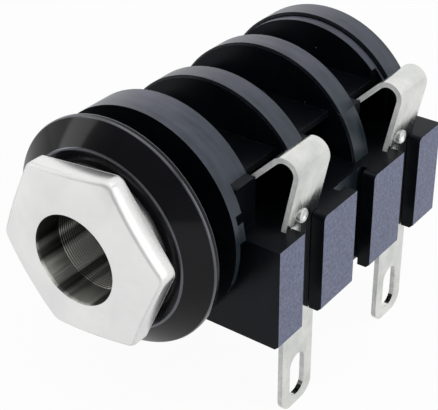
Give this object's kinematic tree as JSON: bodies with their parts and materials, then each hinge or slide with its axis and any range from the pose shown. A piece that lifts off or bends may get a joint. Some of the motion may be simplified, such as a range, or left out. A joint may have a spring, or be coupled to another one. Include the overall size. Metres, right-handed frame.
{
  "type": "mono jack socket",
  "caption": "Panel-mount mono socket for a 6.35 mm plug: hexagonal ferrule, bevelled washer, ribbed black moulding and contact springs with solder tags.",
  "frame": {"origin": "on the plug axis, in the flange face that bears on the back of the panel", "axes": "+Y along the plug's way in, from the ferrule to the rear; +Z away from the solder tags; +X to the side with the contacts"},
  "size_m": [0.0212, 0.0311, 0.0249],
  "materials": {
    "plated_ferrule": "satin nickel plate",
    "gloss_black": "polished black moulding",
    "moulded_black": "fine spark-eroded black moulding",
    "contact_plate": "bright plated spring strip"
  },
  "bodies": {
    "socket": {"socket_body": "moulded_black", "sleeve_contact": "contact_plate", "tip_contact": "contact_plate"},
    "washer": {"bezel_washer": "gloss_black"},
    "ferrule": {"ferrule": "plated_ferrule"}
  },
  "joints": [
    {"name": "washer_travel", "type": "slide", "parent": "socket", "child": "washer", "axis": [0, -1, 0], "range_m": [-0.00159, 0.00238]},
    {"name": "ferrule_turn", "type": "hinge", "parent": "washer", "child": "ferrule", "pos_m": [0, 0, 0], "axis": [0, -1, 0], "range_deg": [-720, 1080]}
  ],
  "couplings": [
    {"joint": "washer_travel", "follows": "ferrule_turn", "m_per_rad": 0.00012633}
  ]
}
